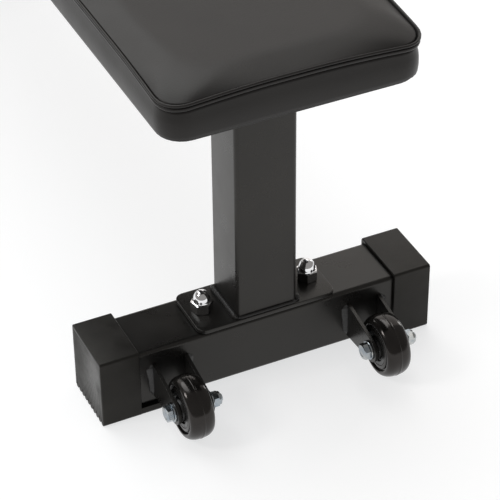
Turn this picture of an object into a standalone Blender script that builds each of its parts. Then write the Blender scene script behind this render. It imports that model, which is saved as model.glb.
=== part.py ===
"""Flat weight bench with two transport wheels, as an assembly of separate pieces.

Metres, +Z up. X runs across the bench, Y along it. The wheels are at the -Y (front) end and the
lift handle is at the +Y (rear) end. The origin is on the floor, under the middle of the bench.
"""

import math

import bmesh
import bpy
from mathutils import Vector

# Driving dimensions
CLEAR = 0.0003          # gap between two pieces that touch
FOOT_SPACING = 0.960    # front foot to rear foot, centre to centre
FOOT_WIDTH = 0.388      # over the rubber caps
TUBE = 0.070            # square foot tube
TUBE_CORNER = 0.005
WALL = 0.003

SOLE = 0.0097           # rubber under the foot tube
CAP_SKIN = 0.0033       # rubber at the sides of the foot tube
CAP_ROOF = 0.0040       # rubber over the foot tube
CAP_LENGTH = 0.0445
CAP_END = 0.0050
CAP_EDGE = 0.005        # round of the cap's two top edges
TONGUE = 0.024          # the sole runs on this far under the tube
RIB_COUNT = 10
RIB_DEPTH = 0.0022

PLATE_LENGTH = 0.160
PLATE_DEPTH = 0.068
PLATE_THICK = 0.0060
PLATE_CORNER = 0.010
POST_WIDTH = 0.070
POST_DEPTH = 0.062
POST_SHIFT = 0.002      # the post stands this much nearer its own end of the bench than the foot
BOLT_SPREAD = 0.062     # base bolt to the middle of the foot
BASE_BOLT_R = 0.0070    # M14
BASE_HEAD_R = 0.0145
BASE_HOLE_R = 0.0075
ACORN_FLATS = 0.0210
ACORN_HEX = 0.0114      # height of its hexagon
DOME_BASE = 0.0128
DOME_R = 0.0093
DOME_HEIGHT = 0.0122

PAD_WIDTH = 0.277
PAD_BOTTOM = 0.378
PAD_TOP = 0.432
PAD_CORNER = 0.025
PAD_OVERHANG = 0.105    # pad beyond the middle of the front foot
WELT_OUT = 0.0027       # the welt stands this far out of the pad's side
SEAM_HEIGHT = 0.0425    # welt above the bottom of the pad
COVER = 0.0015          # vinyl
BOARD_THICK = 0.012
SADDLE_THICK = 0.005    # steel plate between the frame and the pad
SADDLE_WIDTH = 0.200
SADDLE_DEPTH = 0.110
SADDLE_BOLT = 0.082     # pad bolt to the middle of the bench
PAD_BOLT_R = 0.0040     # M8
PAD_BOLT_FLATS = 0.0130
PAD_BOLT_HEAD = 0.0053
PAD_BOLT_LENGTH = 0.0205
PAD_WASHER_R = 0.0085
PAD_WASHER_THICK = 0.0016
INSERT_BORE_R = 0.0043
INSERT_BARREL_R = 0.0050
INSERT_FLANGE_R = 0.0095
INSERT_FLANGE = 0.0012
INSERT_LENGTH = 0.0095
RAIL_WIDTH = 0.050
RAIL_HEIGHT = 0.050

WHEEL_X = 0.1144        # wheel centre to the middle of the foot
AXLE_OUT = 0.088        # axle in front of the middle of the foot
AXLE_Z = 0.038
WHEEL_R = 0.035
WHEEL_HALF = 0.0140     # half of the tread width
EAR_GAP = 0.0328        # between the two ears of a wheel
EAR_THICK = 0.0040
EAR_END_R = 0.0140
EAR_TOP = 0.063
EAR_FOOT = 0.020
AXLE_R = 0.0050         # M10
AXLE_BORE_R = 0.0053
AXLE_FLATS = 0.0165
AXLE_HEAD = 0.0064
AXLE_SPARE = 0.0115     # the bolt runs on this far past the nut's washer
LOCK_NUT = 0.0095
SLEEVE_R = 0.0070
WASHER_R = 0.0105
WASHER_THICK = 0.0020

HANDLE_X = 0.060
HANDLE_R = 0.010
HANDLE_BEND = 0.020
HANDLE_OUT = 0.090      # bar beyond the middle of the rear post
HANDLE_DROP = 0.034     # bar below its two legs
GRIP_R = 0.014
GRIP_LENGTH = 0.074

# Worked out from the driving dimensions
FRONT, REAR = -1, 1
FOOT_Y = FOOT_SPACING / 2
TUBE_TOP = SOLE + CLEAR + TUBE
PLATE_TOP = TUBE_TOP + CLEAR + PLATE_THICK
SADDLE_TOP = PAD_BOTTOM - 0.0012
SADDLE_Z = SADDLE_TOP - SADDLE_THICK
POST_TOP = SADDLE_Z - CLEAR
POST_Y = FOOT_Y + POST_SHIFT
REAR_OVERHANG = AXLE_OUT + WHEEL_R - WELT_OUT   # the pad ends as far out as the wheels at the other end
PAD_LENGTH = PAD_OVERHANG + FOOT_SPACING + REAR_OVERHANG
PAD_PLACE = (0, (REAR_OVERHANG - PAD_OVERHANG) / 2, 0)
BOARD_Z = PAD_BOTTOM + COVER + CLEAR
BOARD_TOP = BOARD_Z + BOARD_THICK
AXLE_Y = -FOOT_Y - AXLE_OUT


# Materials
def make_material(name, colour, roughness, metallic=0.0):
    material = bpy.data.materials.new(name)
    material.use_nodes = True
    shader = material.node_tree.nodes["Principled BSDF"]
    shader.inputs["Base Color"].default_value = (*colour, 1.0)
    shader.inputs["Roughness"].default_value = roughness
    shader.inputs["Metallic"].default_value = metallic
    material.diffuse_color = (*colour, 1.0)
    return material


def make_materials():
    table = {
        "frame_paint": ((0.020, 0.019, 0.018), 0.45, 0.0),
        "cap_rubber": ((0.028, 0.027, 0.025), 0.85, 0.0),
        "pad_vinyl": ((0.030, 0.029, 0.030), 0.50, 0.0),
        "pad_foam": ((0.55, 0.50, 0.38), 0.95, 0.0),
        "plywood": ((0.50, 0.36, 0.22), 0.75, 0.0),
        "dust_cloth": ((0.015, 0.015, 0.015), 0.95, 0.0),
        "chrome": ((0.75, 0.75, 0.76), 0.08, 1.0),
        "zinc": ((0.62, 0.64, 0.66), 0.30, 1.0),
        "tyre": ((0.018, 0.017, 0.017), 0.22, 0.0),
        "wheel_core": ((0.022, 0.022, 0.022), 0.40, 0.0),
        "grip_rubber": ((0.022, 0.022, 0.022), 0.80, 0.0),
    }
    return {name: make_material(name, *values) for name, values in table.items()}


# Outlines, each a list of (x, y) points that runs counter-clockwise
def circle(radius, steps):
    angles = [2 * math.pi * i / steps for i in range(steps)]
    return [(radius * math.cos(a), radius * math.sin(a)) for a in angles]


def hexagon(across_flats, steps):
    """A hexagon with as many points as a circle of the same steps, so that the two can be joined."""
    outline = []
    for i in range(steps):
        angle = 2 * math.pi * i / steps
        from_flat = (angle + math.pi / 6) % (math.pi / 3) - math.pi / 6
        radius = across_flats / 2 / math.cos(from_flat)
        outline.append((radius * math.cos(angle), radius * math.sin(angle)))
    return outline


def rounded_rectangle(width, depth, corner, steps=4):
    outline = []
    for quarter, (sx, sy) in enumerate(((1, 1), (-1, 1), (-1, -1), (1, -1))):
        centre_x = sx * (width / 2 - corner)
        centre_y = sy * (depth / 2 - corner)
        for i in range(steps + 1):
            angle = math.pi / 2 * (quarter + i / steps)
            outline.append((centre_x + corner * math.cos(angle), centre_y + corner * math.sin(angle)))
    return outline


def ring(outline, height):
    return [Vector((x, y, height)) for x, y in outline]


# Meshes
def loft(rings, closed=False):
    """Skins a stack of rings. A closed stack joins its last ring to its first, or else both ends get a face."""
    mesh = bmesh.new()
    loops = [[mesh.verts.new(point) for point in points] for points in rings]
    pairs = list(zip(loops, loops[1:]))
    if closed:
        pairs.append((loops[-1], loops[0]))
    else:
        mesh.faces.new(reversed(loops[0]))
        mesh.faces.new(loops[-1])
    for low, high in pairs:
        for i in range(len(low)):
            j = (i + 1) % len(low)
            mesh.faces.new((low[i], low[j], high[j], high[i]))
    bmesh.ops.recalc_face_normals(mesh, faces=mesh.faces)
    return mesh


def turned(profile, steps, closed=False):
    """A turned piece about local Z from (radius, height) pairs."""
    return loft([ring(circle(radius, steps), height) for radius, height in profile], closed)


def hollow(outer, inner, low, high):
    """A straight tube between two outlines with the same number of points."""
    return loft([ring(outer, low), ring(outer, high), ring(inner, high), ring(inner, low)], closed=True)


def sleeve(outer_r, inner_r, low, high, steps=24):
    return hollow(circle(outer_r, steps), circle(inner_r, steps), low, high)


def add_piece(name, mesh, material, location=(0, 0, 0), rotation=(0, 0, 0), smooth=35, parent=None):
    data = bpy.data.meshes.new(name)
    mesh.to_mesh(data)
    mesh.free()
    piece = bpy.data.objects.new(name, data)
    bpy.context.scene.collection.objects.link(piece)
    piece.location = location
    piece.rotation_euler = rotation
    piece.parent = parent
    if material:
        data.materials.append(material)
    data.shade_smooth()
    data.set_sharp_from_angle(angle=math.radians(smooth))
    return piece


def soften(piece, width, segments=2):
    bevel = piece.modifiers.new("soft_edges", "BEVEL")
    bevel.width = width
    bevel.segments = segments
    bevel.limit_method = "ANGLE"
    bevel.angle_limit = math.radians(50)


def cut(piece, cutter):
    cutter.hide_render = True
    cutter.display_type = "WIRE"
    boolean = piece.modifiers.new("cut", "BOOLEAN")
    boolean.operation = "DIFFERENCE"
    boolean.solver = "EXACT"
    boolean.object = cutter


def drill(piece, places, radius, low, high, steps=16):
    """Round holes along Z at the given (x, y) places."""
    for i, (x, y) in enumerate(places):
        mesh = loft([ring(circle(radius, steps), low), ring(circle(radius, steps), high)])
        cut(piece, add_piece(f"{piece.name}_hole_{i}", mesh, None, (x, y, 0)))


ALONG_X = (0, math.pi / 2, 0)   # turns local Z to +X
FASTENER_STEPS = 12             # a multiple of 12 keeps the corners of a hexagon


# Feet
def rib_outline():
    """The rubber cap's outline: round top corners, and a sole with ribs that run along X."""
    half = TUBE / 2 + CLEAR + CAP_SKIN
    top = TUBE_TOP + CLEAR + CAP_ROOF
    outline = []
    for side in (1, -1):
        for i in range(5):
            angle = math.pi / 8 * i if side == 1 else math.pi / 2 + math.pi / 8 * i
            centre = side * (half - CAP_EDGE)
            outline.append((centre + CAP_EDGE * math.cos(angle), top - CAP_EDGE + CAP_EDGE * math.sin(angle)))
    pitch = 2 * half / RIB_COUNT
    for i in range(RIB_COUNT):
        left = -half + i * pitch
        outline.append((left + pitch * (0.18 if i else 0.0), RIB_DEPTH if i == 0 else 0.0))
        if i == 0:
            outline.append((left + pitch * 0.18, 0.0))
        outline.append((left + pitch * 0.60, 0.0))
        if i < RIB_COUNT - 1:
            outline.append((left + pitch * 0.74, RIB_DEPTH))
            outline.append((left + pitch * 1.04, RIB_DEPTH))
    outline.append((half - pitch * 0.12, 0.0))
    outline.append((half, RIB_DEPTH))
    return outline


def add_cap(name, side, foot_y, materials):
    """A rubber box cap that slips over one end of a foot tube, with a tongue of its sole under the tube."""
    outline = rib_outline()
    outer_x = side * FOOT_WIDTH / 2
    inner_x = outer_x - side * CAP_LENGTH
    tongue_x = inner_x - side * TONGUE
    rings = [[Vector((x, y, z)) for y, z in outline] for x in sorted((outer_x, tongue_x))]
    cap = add_piece(name, loft(rings), materials["cap_rubber"], (0, foot_y, 0), smooth=30)
    soften(cap, 0.0008, 1)
    pocket = TUBE + 2 * CLEAR
    pocket_outline = rounded_rectangle(pocket, pocket, TUBE_CORNER)
    middle = SOLE + CLEAR + TUBE / 2
    past = tongue_x - side * 0.005
    pocket_rings = [[Vector((x, y, middle + z)) for y, z in pocket_outline]
                    for x in sorted((outer_x - side * CAP_END, past))]
    cut(cap, add_piece(name + "_pocket", loft(pocket_rings), None, (0, foot_y, 0)))
    window = [(-TUBE, SOLE), (TUBE, SOLE), (TUBE, 2 * TUBE), (-TUBE, 2 * TUBE)]
    window_rings = [[Vector((x, y, z)) for y, z in window] for x in sorted((inner_x, past))]
    cut(cap, add_piece(name + "_window", loft(window_rings), None, (0, foot_y, 0)))


def add_foot(end, name, materials):
    foot_y = end * FOOT_Y
    half = FOOT_WIDTH / 2 - CAP_END - CLEAR
    outer = rounded_rectangle(TUBE, TUBE, TUBE_CORNER)
    inner = rounded_rectangle(TUBE - 2 * WALL, TUBE - 2 * WALL, TUBE_CORNER - WALL)
    place = (0, foot_y, SOLE + CLEAR + TUBE / 2)
    tube = add_piece(name + "_foot_tube", hollow(outer, inner, -half, half), materials["frame_paint"],
                     place, ALONG_X)
    bolt_y = end * POST_Y
    places = [(-BOLT_SPREAD, bolt_y), (BOLT_SPREAD, bolt_y)]
    drill(tube, places, BASE_HOLE_R, 0.0, PLATE_TOP)
    for side, label in ((-1, "left"), (1, "right")):
        add_cap(f"{name}_{label}_foot_cap", side, foot_y, materials)

    plate_outline = rounded_rectangle(PLATE_LENGTH, PLATE_DEPTH, PLATE_CORNER)
    plate_mesh = loft([ring(plate_outline, TUBE_TOP + CLEAR), ring(plate_outline, PLATE_TOP)])
    plate = add_piece(name + "_base_plate", plate_mesh, materials["frame_paint"], (0, bolt_y, 0))
    soften(plate, 0.0006, 1)
    drill(plate, places, BASE_HOLE_R, TUBE_TOP - TUBE_CORNER, PLATE_TOP + TUBE_CORNER)

    outer = rounded_rectangle(POST_WIDTH, POST_DEPTH, TUBE_CORNER)
    inner = rounded_rectangle(POST_WIDTH - 2 * WALL, POST_DEPTH - 2 * WALL, TUBE_CORNER - WALL)
    post_mesh = hollow(outer, inner, PLATE_TOP + CLEAR, POST_TOP)
    add_piece(name + "_post", post_mesh, materials["frame_paint"], (0, bolt_y, 0))

    for (x, y), label in zip(places, ("left", "right")):
        add_piece(f"{name}_{label}_base_bolt", carriage_bolt(), materials["zinc"], (x, y, 0))
        add_piece(f"{name}_{label}_acorn_nut", acorn_nut(), materials["chrome"], (x, y, PLATE_TOP + CLEAR))


# Fasteners
def carriage_bolt():
    """Its round head is under the foot tube, and its end is inside the acorn nut."""
    end = PLATE_TOP + 0.0152
    profile = [(BASE_HEAD_R - 0.0085, SOLE - 0.0056), (BASE_HEAD_R - 0.0035, SOLE - 0.0046),
               (BASE_HEAD_R - 0.0002, SOLE - 0.0018), (BASE_HEAD_R, SOLE), (BASE_BOLT_R, SOLE),
               (BASE_BOLT_R, end - 0.0012), (BASE_BOLT_R - 0.0012, end)]
    return turned(profile, FASTENER_STEPS)


def acorn_nut():
    """A domed nut with a blind bore from below."""
    steps, edge = FASTENER_STEPS, 0.0010
    bore, bore_depth = BASE_BOLT_R + CLEAR, 0.0165
    rings = [ring(circle(bore, steps), bore_depth), ring(circle(bore, steps), 0.0),
             ring(circle(ACORN_FLATS / 2 - CLEAR, steps), 0.0), ring(hexagon(ACORN_FLATS, steps), edge),
             ring(hexagon(ACORN_FLATS, steps), ACORN_HEX), ring(circle(DOME_R + CLEAR, steps), DOME_BASE)]
    for i in range(5):
        angle = math.pi / 2 * i / 5
        rings.append(ring(circle(DOME_R * math.cos(angle), steps), DOME_BASE + DOME_HEIGHT * math.sin(angle)))
    rings.append(ring(circle(DOME_R / 12, steps), DOME_BASE + DOME_HEIGHT))
    return loft(rings)


def hex_bolt(shank_r, flats, head, length):
    """Its head's seat is at z = 0, and its shank runs up."""
    steps = FASTENER_STEPS
    rings = [ring(circle(flats * 0.46, steps), -head), ring(hexagon(flats, steps), -head + 0.0010),
             ring(hexagon(flats, steps), 0.0), ring(circle(shank_r, steps), 0.0),
             ring(circle(shank_r, steps), length - 0.0010), ring(circle(shank_r * 0.8, steps), length)]
    return loft(rings)


def lock_nut(bore_r, flats, height):
    """A hexagon with a round collar on top."""
    steps = FASTENER_STEPS
    collar = height * 0.70
    rings = [ring(circle(bore_r, steps), 0.0), ring(circle(flats * 0.48, steps), 0.0),
             ring(hexagon(flats, steps), 0.0006), ring(hexagon(flats, steps), collar - 0.0006),
             ring(circle(flats * 0.46, steps), collar), ring(circle(flats * 0.43, steps), height - 0.0006),
             ring(circle(flats * 0.39, steps), height), ring(circle(bore_r, steps), height)]
    return loft(rings, closed=True)


def tee_nut():
    """A threaded insert: a flange let into the top of the board, with its barrel below."""
    top = BOARD_TOP - CLEAR
    foot, step = top - INSERT_LENGTH, top - INSERT_FLANGE
    profile = [(INSERT_BORE_R, top), (INSERT_BORE_R, foot), (INSERT_BARREL_R, foot), (INSERT_BARREL_R, step),
               (INSERT_FLANGE_R, step), (INSERT_FLANGE_R, top)]
    return turned(profile, FASTENER_STEPS, closed=True)


# Wheels
def tyre():
    """A crowned tread with a parting ridge, grooved side faces and a plain bore."""
    side = [(0.0200, 0.0125), (0.0232, 0.0125), (0.0240, 0.0108), (0.0258, 0.0108), (0.0264, 0.0136),
            (0.0300, WHEEL_HALF), (0.0330, 0.0118), (0.0345, 0.0060), (WHEEL_R, 0.0006)]
    profile = side + [(radius, -x) for radius, x in reversed(side)]
    return turned(profile, 36, closed=True)


def wheel_core():
    """The nylon hub inside the tyre, with a boss on each side that runs against the ears."""
    half = EAR_GAP / 2 - 0.0012
    side = [(SLEEVE_R + CLEAR, half), (0.0122, half), (0.0128, 0.0110), (0.0150, 0.0100), (0.0178, 0.0122),
            (0.0197, 0.0122)]
    profile = side + [(radius, -x) for radius, x in reversed(side)]
    return turned(profile, 32, closed=True)


def tangent_angle(point, centre, radius, turn):
    """The angle on a circle of the point where a line from an outside point touches it."""
    away = Vector(point) - Vector(centre)
    return math.atan2(away.y, away.x) + turn * math.acos(radius / away.length)


def ear_outline():
    """An ear in the (y, z) plane, relative to the foot's centre: a gusset that ends round at the axle."""
    back = -TUBE / 2 - CLEAR
    centre = (-AXLE_OUT, AXLE_Z)
    top, bottom = (back, EAR_TOP), (back, EAR_FOOT)
    start = tangent_angle(top, centre, EAR_END_R, 1)
    finish = tangent_angle(bottom, centre, EAR_END_R, -1) + 2 * math.pi
    steps = 14
    outline = [bottom, top]
    for i in range(steps + 1):
        angle = start + (finish - start) * i / steps
        outline.append((centre[0] + EAR_END_R * math.cos(angle), centre[1] + EAR_END_R * math.sin(angle)))
    return outline


def add_ear(name, low_x, materials):
    outline = ear_outline()
    rings = [[Vector((x, y, z)) for y, z in outline] for x in (low_x, low_x + EAR_THICK)]
    ear = add_piece(name, loft(rings), materials["frame_paint"], (0, -FOOT_Y, 0), smooth=30)
    bore = circle(AXLE_BORE_R, 24)
    hole = loft([ring(bore, -2 * EAR_THICK), ring(bore, 2 * EAR_THICK)])
    cut(ear, add_piece(name + "_hole", hole, None, (low_x, AXLE_Y, AXLE_Z), ALONG_X))


def add_wheel(name, wheel_x, materials):
    axle = bpy.data.objects.new(name + "_axle", None)
    bpy.context.scene.collection.objects.link(axle)
    axle.location = (wheel_x, AXLE_Y, AXLE_Z)
    axle.rotation_euler = ALONG_X

    add_piece(name + "_tyre", tyre(), materials["tyre"], parent=axle, smooth=50)
    add_piece(name + "_core", wheel_core(), materials["wheel_core"], parent=axle)
    half = EAR_GAP / 2
    outside = half + EAR_THICK + CLEAR
    seat = outside + WASHER_THICK + CLEAR
    add_piece(name + "_axle_sleeve", sleeve(SLEEVE_R, AXLE_BORE_R, -half + CLEAR, half - CLEAR),
              materials["zinc"], parent=axle)
    for label, low in (("bolt", -outside - WASHER_THICK), ("nut", outside)):
        add_piece(f"{name}_{label}_washer", sleeve(WASHER_R, AXLE_BORE_R, low, low + WASHER_THICK),
                  materials["zinc"], parent=axle)
    add_piece(name + "_axle_bolt", hex_bolt(AXLE_R, AXLE_FLATS, AXLE_HEAD, 2 * seat + AXLE_SPARE),
              materials["zinc"], (0, 0, -seat), parent=axle)
    add_piece(name + "_lock_nut", lock_nut(AXLE_BORE_R, AXLE_FLATS, LOCK_NUT), materials["zinc"],
              (0, 0, seat), parent=axle)
    add_ear(name + "_left_ear", wheel_x - half - EAR_THICK, materials)
    add_ear(name + "_right_ear", wheel_x + half, materials)


# Pad and what holds it
def pad_outline(inset):
    corner = max(PAD_CORNER - inset, 0.006)
    return rounded_rectangle(PAD_WIDTH - 2 * inset, PAD_LENGTH - 2 * inset, corner, 6)


def crown(gap):
    """(inset, height) pairs of the pad's rounded top, gap under the vinyl's outer face."""
    edge = PAD_BOTTOM + SEAM_HEIGHT
    rise = PAD_TOP - edge
    roll = 0.050
    pairs = [(gap, edge)]
    for i in range(1, 7):
        share = i / 6
        pairs.append((gap + roll * share ** 1.6, edge + (rise - gap) * math.sin(math.pi / 2 * share)))
    return pairs


def add_pad(materials):
    lip = 0.030
    outer = [(lip, PAD_BOTTOM), (0.0015, PAD_BOTTOM), (0.0, PAD_BOTTOM + 0.0015)] + crown(0.0)
    inner = [(inset, z) for inset, z in crown(COVER)]
    inner += [(COVER, PAD_BOTTOM + COVER)]
    skin = [ring(pad_outline(inset), z) for inset, z in outer]
    back = [ring(pad_outline(inset), z) for inset, z in reversed(inner[:-1])]
    rings = skin + back + [ring(pad_outline(inset), z) for inset, z in ((COVER, PAD_BOTTOM + COVER),
                                                                     (lip, PAD_BOTTOM + COVER))]
    add_piece("pad_cover", cover_mesh(rings, len(skin)), materials["pad_vinyl"], PAD_PLACE)

    gap = COVER + CLEAR
    foam = [ring(pad_outline(gap), BOARD_TOP + CLEAR)]
    foam += [ring(pad_outline(inset), z) for inset, z in crown(gap)]
    add_piece("pad_foam", loft(foam), materials["pad_foam"], PAD_PLACE)

    board_outline = pad_outline(gap)
    board = add_piece("pad_board", loft([ring(board_outline, BOARD_Z), ring(board_outline, BOARD_TOP)]),
                      materials["plywood"], PAD_PLACE)

    middle = PAD_BOTTOM + SEAM_HEIGHT
    band = [(-CLEAR, -0.0026), (-0.0019, -0.0022), (-WELT_OUT, 0.0), (-0.0019, 0.0022), (-CLEAR, 0.0026)]
    welt = [ring(pad_outline(inset), middle + z) for inset, z in band]
    add_piece("pad_welt", loft(welt, closed=True), materials["pad_vinyl"], PAD_PLACE)

    liner_outline = pad_outline(0.012)
    liner_mesh = loft([ring(liner_outline, SADDLE_TOP + CLEAR), ring(liner_outline, PAD_BOTTOM - CLEAR)])
    liner = add_piece("pad_dust_cloth", liner_mesh, materials["dust_cloth"], PAD_PLACE)

    for end, name in ((FRONT, "front"), (REAR, "rear")):
        y = end * POST_Y
        places = [(-SADDLE_BOLT, y), (SADDLE_BOLT, y)]
        outline = rounded_rectangle(SADDLE_WIDTH, SADDLE_DEPTH, 0.008)
        mesh = loft([ring(outline, SADDLE_Z), ring(outline, SADDLE_TOP)])
        saddle = add_piece(name + "_pad_plate", mesh, materials["frame_paint"], (0, y, 0))
        drill(saddle, places, PAD_BOLT_R + 0.0005, POST_TOP - 0.01, PAD_BOTTOM)
        drill(liner, places, PAD_BOLT_R + 0.0010, POST_TOP - 0.01, BOARD_TOP)
        for i, (x, _) in enumerate(places):
            label = ("left", "right")[i]
            step_z = BOARD_TOP - INSERT_FLANGE - 2 * CLEAR
            recess = [(INSERT_BARREL_R + CLEAR, BOARD_Z - 0.01), (INSERT_BARREL_R + CLEAR, step_z),
                      (INSERT_FLANGE_R + CLEAR, step_z), (INSERT_FLANGE_R + CLEAR, BOARD_TOP + 0.01)]
            cut(board, add_piece(f"{name}_{label}_recess", turned(recess, 16), None, (x, y, 0)))
            add_piece(f"{name}_{label}_pad_insert", tee_nut(), materials["zinc"], (x, y, 0))
            top = SADDLE_Z - CLEAR
            washer = sleeve(PAD_WASHER_R, PAD_BOLT_R + CLEAR, top - PAD_WASHER_THICK, top, 16)
            add_piece(f"{name}_{label}_pad_washer", washer, materials["zinc"], (x, y, 0))
            bolt = hex_bolt(PAD_BOLT_R, PAD_BOLT_FLATS, PAD_BOLT_HEAD, PAD_BOLT_LENGTH)
            add_piece(f"{name}_{label}_pad_bolt", bolt, materials["zinc"],
                      (x, y, top - PAD_WASHER_THICK - CLEAR))


def cover_mesh(rings, skin_count):
    """The vinyl as one shell. Its top is closed by two faces, one on the outside and one on the inside,
    and it is open underneath, where its lip is wrapped under the board."""
    mesh = bmesh.new()
    loops = [[mesh.verts.new(point) for point in points] for points in rings]
    joined = [(i, i + 1) for i in range(len(loops) - 1) if i != skin_count - 1]
    joined.append((len(loops) - 1, 0))
    for a, b in joined:
        for i in range(len(loops[a])):
            j = (i + 1) % len(loops[a])
            mesh.faces.new((loops[a][i], loops[a][j], loops[b][j], loops[b][i]))
    mesh.faces.new(loops[skin_count - 1])
    mesh.faces.new(reversed(loops[skin_count]))
    bmesh.ops.recalc_face_normals(mesh, faces=mesh.faces)
    return mesh


def add_rail(materials):
    half = POST_Y - POST_DEPTH / 2 - CLEAR
    outer = rounded_rectangle(RAIL_HEIGHT, RAIL_WIDTH, TUBE_CORNER)
    inner = rounded_rectangle(RAIL_HEIGHT - 2 * WALL, RAIL_WIDTH - 2 * WALL, TUBE_CORNER - WALL)
    add_piece("top_rail", hollow(outer, inner, -half, half), materials["frame_paint"],
              (0, 0, POST_TOP - RAIL_HEIGHT / 2), (math.pi / 2, 0, 0))


# Lift handle
def bent_path(corners, radius, steps=5):
    """Points along straight runs joined by round bends."""
    path = [Vector(corners[0])]
    for before, corner, after in zip(corners, corners[1:], corners[2:]):
        corner = Vector(corner)
        back = (Vector(before) - corner).normalized()
        ahead = (Vector(after) - corner).normalized()
        half_angle = back.angle(ahead) / 2
        centre = corner + (back + ahead).normalized() * radius / math.sin(half_angle)
        start = corner + back * radius / math.tan(half_angle) - centre
        finish = corner + ahead * radius / math.tan(half_angle) - centre
        for i in range(steps + 1):
            path.append(centre + radius * start.slerp(finish, i / steps))
    path.append(Vector(corners[-1]))
    return path


def add_handle(materials):
    """A round bar welded under the rear pad plate, which dips below the pad for the fingers."""
    under = SADDLE_Z - CLEAR - HANDLE_R
    start_y, knee_y = POST_Y + 0.004, POST_Y + 0.024
    bar_y, bar_z = POST_Y + HANDLE_OUT, under - HANDLE_DROP
    corners = [(-HANDLE_X, start_y, under), (-HANDLE_X, knee_y, under), (-HANDLE_X, bar_y, bar_z),
               (HANDLE_X, bar_y, bar_z), (HANDLE_X, knee_y, under), (HANDLE_X, start_y, under)]
    path = bent_path(corners, HANDLE_BEND)
    curve = bpy.data.curves.new("lift_handle", "CURVE")
    curve.dimensions = "3D"
    curve.bevel_depth = HANDLE_R
    curve.bevel_resolution = 2
    curve.use_fill_caps = True
    spline = curve.splines.new("POLY")
    spline.points.add(len(path) - 1)
    for point, place in zip(spline.points, path):
        point.co = (*place, 1.0)
    curve.materials.append(materials["frame_paint"])
    handle = bpy.data.objects.new("lift_handle", curve)
    bpy.context.scene.collection.objects.link(handle)

    half = GRIP_LENGTH / 2
    lip = 0.0020
    bore = HANDLE_R + CLEAR
    profile = [(bore, -half), (GRIP_R - lip, -half), (GRIP_R, -half + lip), (GRIP_R, half - lip),
               (GRIP_R - lip, half), (bore, half)]
    add_piece("handle_grip", turned(profile, 24, closed=True), materials["grip_rubber"], (0, bar_y, bar_z),
              ALONG_X)


def main():
    for thing in list(bpy.data.objects):
        bpy.data.objects.remove(thing)
    materials = make_materials()
    add_foot(FRONT, "front", materials)
    add_foot(REAR, "rear", materials)
    add_rail(materials)
    add_pad(materials)
    add_wheel("left_wheel", -WHEEL_X, materials)
    add_wheel("right_wheel", WHEEL_X, materials)
    add_handle(materials)


main()
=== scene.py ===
"""The looks of the flat weight bench: fine meshes, materials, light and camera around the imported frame."""

import math

import bmesh
import bpy
from mathutils import Matrix, Vector, noise


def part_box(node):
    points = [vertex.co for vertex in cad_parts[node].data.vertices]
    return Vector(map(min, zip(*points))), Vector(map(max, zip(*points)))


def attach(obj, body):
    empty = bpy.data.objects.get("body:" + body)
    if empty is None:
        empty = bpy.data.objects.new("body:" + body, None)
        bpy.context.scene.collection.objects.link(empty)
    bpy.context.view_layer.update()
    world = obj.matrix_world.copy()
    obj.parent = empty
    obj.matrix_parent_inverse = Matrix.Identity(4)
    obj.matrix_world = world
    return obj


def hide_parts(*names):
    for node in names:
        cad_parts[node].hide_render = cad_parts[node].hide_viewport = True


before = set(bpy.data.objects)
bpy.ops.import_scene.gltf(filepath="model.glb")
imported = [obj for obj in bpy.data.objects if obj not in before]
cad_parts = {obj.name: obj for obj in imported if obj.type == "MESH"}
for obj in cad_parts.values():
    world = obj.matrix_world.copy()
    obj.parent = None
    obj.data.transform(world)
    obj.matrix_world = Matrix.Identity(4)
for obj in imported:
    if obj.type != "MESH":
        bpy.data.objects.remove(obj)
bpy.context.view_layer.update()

MM = 0.001
BENCH = "bench"


# ---------------------------------------------------------------- sizes, read from the frame
def middle(node):
    """The middle of a node's box."""
    low_corner, high_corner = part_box(node)
    return (low_corner + high_corner) / 2


def extent(node):
    """The sides of a node's box."""
    low_corner, high_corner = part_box(node)
    return high_corner - low_corner


GAP = 0.3 * MM                      # what the CAD keeps between pieces that touch
WALL = 3.0 * MM                     # of the square tubes
TUBE_CORNER = 5.0 * MM
CUT_EDGE = 0.4 * MM                 # the broken edge of a sawn tube
CAP_LENGTH = 44.5 * MM
ENDS = ("front", "rear")
SIDES = (("left", -1), ("right", 1))
WHEELS = ("left_wheel", "right_wheel")


# ---------------------------------------------------------------- materials
def principled(name, colour, roughness, metallic=0.0, **sockets):
    """A new material with its shader. A socket's name is written with _ for each space."""
    material = bpy.data.materials.new(name)
    material.use_nodes = True
    shader = material.node_tree.nodes["Principled BSDF"]
    shader.inputs["Base Color"].default_value = (*colour, 1.0)
    shader.inputs["Roughness"].default_value = roughness
    shader.inputs["Metallic"].default_value = metallic
    for socket, value in sockets.items():
        shader.inputs[socket.replace("_", " ")].default_value = value
    return material, material.node_tree, shader


def noise_at(tree, scale, detail=3.0, stretch=None, cells=None):
    """A noise texture in the piece's own metres, or the cell texture of the kind that cells names."""
    place = tree.nodes.new("ShaderNodeTexCoord")
    texture = tree.nodes.new("ShaderNodeTexVoronoi" if cells else "ShaderNodeTexNoise")
    if cells:
        texture.feature = cells
    else:
        texture.inputs["Detail"].default_value = detail
    texture.inputs["Scale"].default_value = scale
    vector = place.outputs["Object"]
    if stretch:
        mapping = tree.nodes.new("ShaderNodeMapping")
        mapping.inputs["Scale"].default_value = stretch
        tree.links.new(vector, mapping.inputs["Vector"])
        vector = mapping.outputs["Vector"]
    tree.links.new(vector, texture.inputs["Vector"])
    return texture


def value_of(texture):
    return texture.outputs.get("Fac") or texture.outputs[0]


# The part of a noise's range over which a look changes from one end to the other.
DRIFT_START, DRIFT_STOP = 0.35, 0.65


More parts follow.
